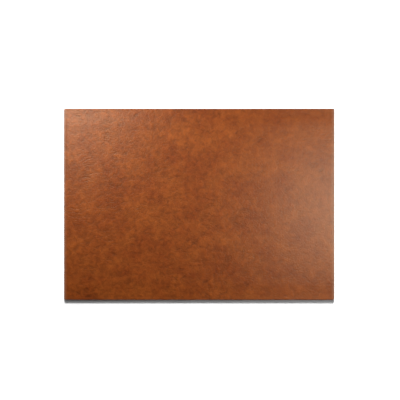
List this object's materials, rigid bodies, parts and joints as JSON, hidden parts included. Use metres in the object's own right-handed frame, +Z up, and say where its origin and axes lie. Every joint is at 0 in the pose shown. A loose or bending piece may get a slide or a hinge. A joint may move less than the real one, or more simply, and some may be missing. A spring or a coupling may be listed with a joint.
{
  "type": "desk mat",
  "caption": "Flat rectangular leather-covered desk mat with softly rolled edges, a stiff core and a suede underside.",
  "frame": {"origin": "centre of the underside, on the surface that the mat rests on", "axes": "+X along the long side, +Y across the mat away from the user, +Z up through the writing face"},
  "size_m": [0.594, 0.42, 0.005],
  "materials": {
    "leather": "natural-grain tan leather with a low satin sheen",
    "foam": "thin closed-cell foam, matt",
    "board": "dense grey fibreboard, matt",
    "card": "thin levelling card, matt",
    "suede": "napped suede sheet, matt"
  },
  "bodies": {
    "root": {"leather_cover": "leather", "foam_interlay": "foam", "core_board": "board", "infill_card": "card", "backing_sheet": "suede"}
  },
  "joints": []
}
